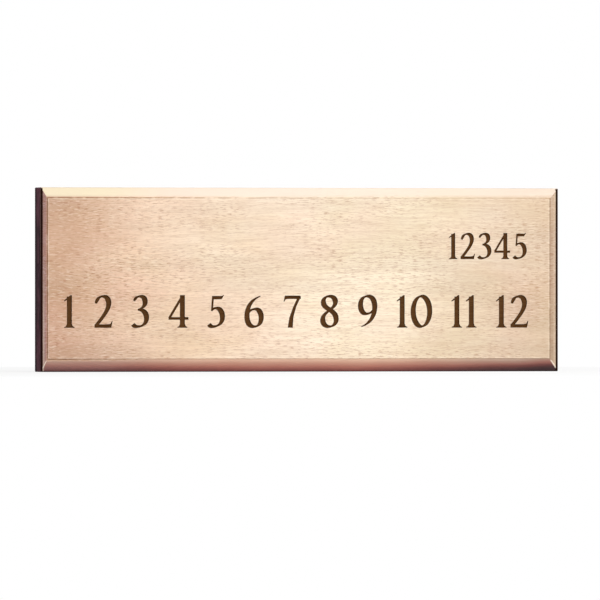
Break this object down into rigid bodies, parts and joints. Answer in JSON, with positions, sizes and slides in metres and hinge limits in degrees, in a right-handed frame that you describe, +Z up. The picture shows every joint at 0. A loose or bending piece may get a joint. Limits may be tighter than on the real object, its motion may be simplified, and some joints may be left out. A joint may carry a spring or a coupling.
{
  "type": "name plate",
  "caption": "Bevelled pale hardwood wall plate with burnt-in numerals, hung by keyhole plates let into its back, with rubber wall pads.",
  "frame": {"origin": "on the wall plane, which the pads touch, behind the middle of the board", "axes": "+X to the viewer's right along the board, +Z up, and the face looks along -Y, away from the wall"},
  "size_m": [0.2794, 0.02, 0.0966],
  "materials": {
    "pale_hardwood": "sanded and oiled, with dark stained sides and burnt numerals",
    "plated_steel": "bright zinc plate",
    "passivated_steel": "yellow passivated zinc",
    "pad_rubber": "matt"
  },
  "bodies": {
    "root": {"face_board": "pale_hardwood", "keyhole_plate_left": "plated_steel", "keyhole_plate_right": "plated_steel", "plate_screw_left_upper": "passivated_steel", "plate_screw_left_lower": "passivated_steel", "plate_screw_right_upper": "passivated_steel", "plate_screw_right_lower": "passivated_steel", "wall_pad_top_left": "pad_rubber", "wall_pad_top_right": "pad_rubber", "wall_pad_bottom_left": "pad_rubber", "wall_pad_bottom_right": "pad_rubber"}
  },
  "joints": []
}
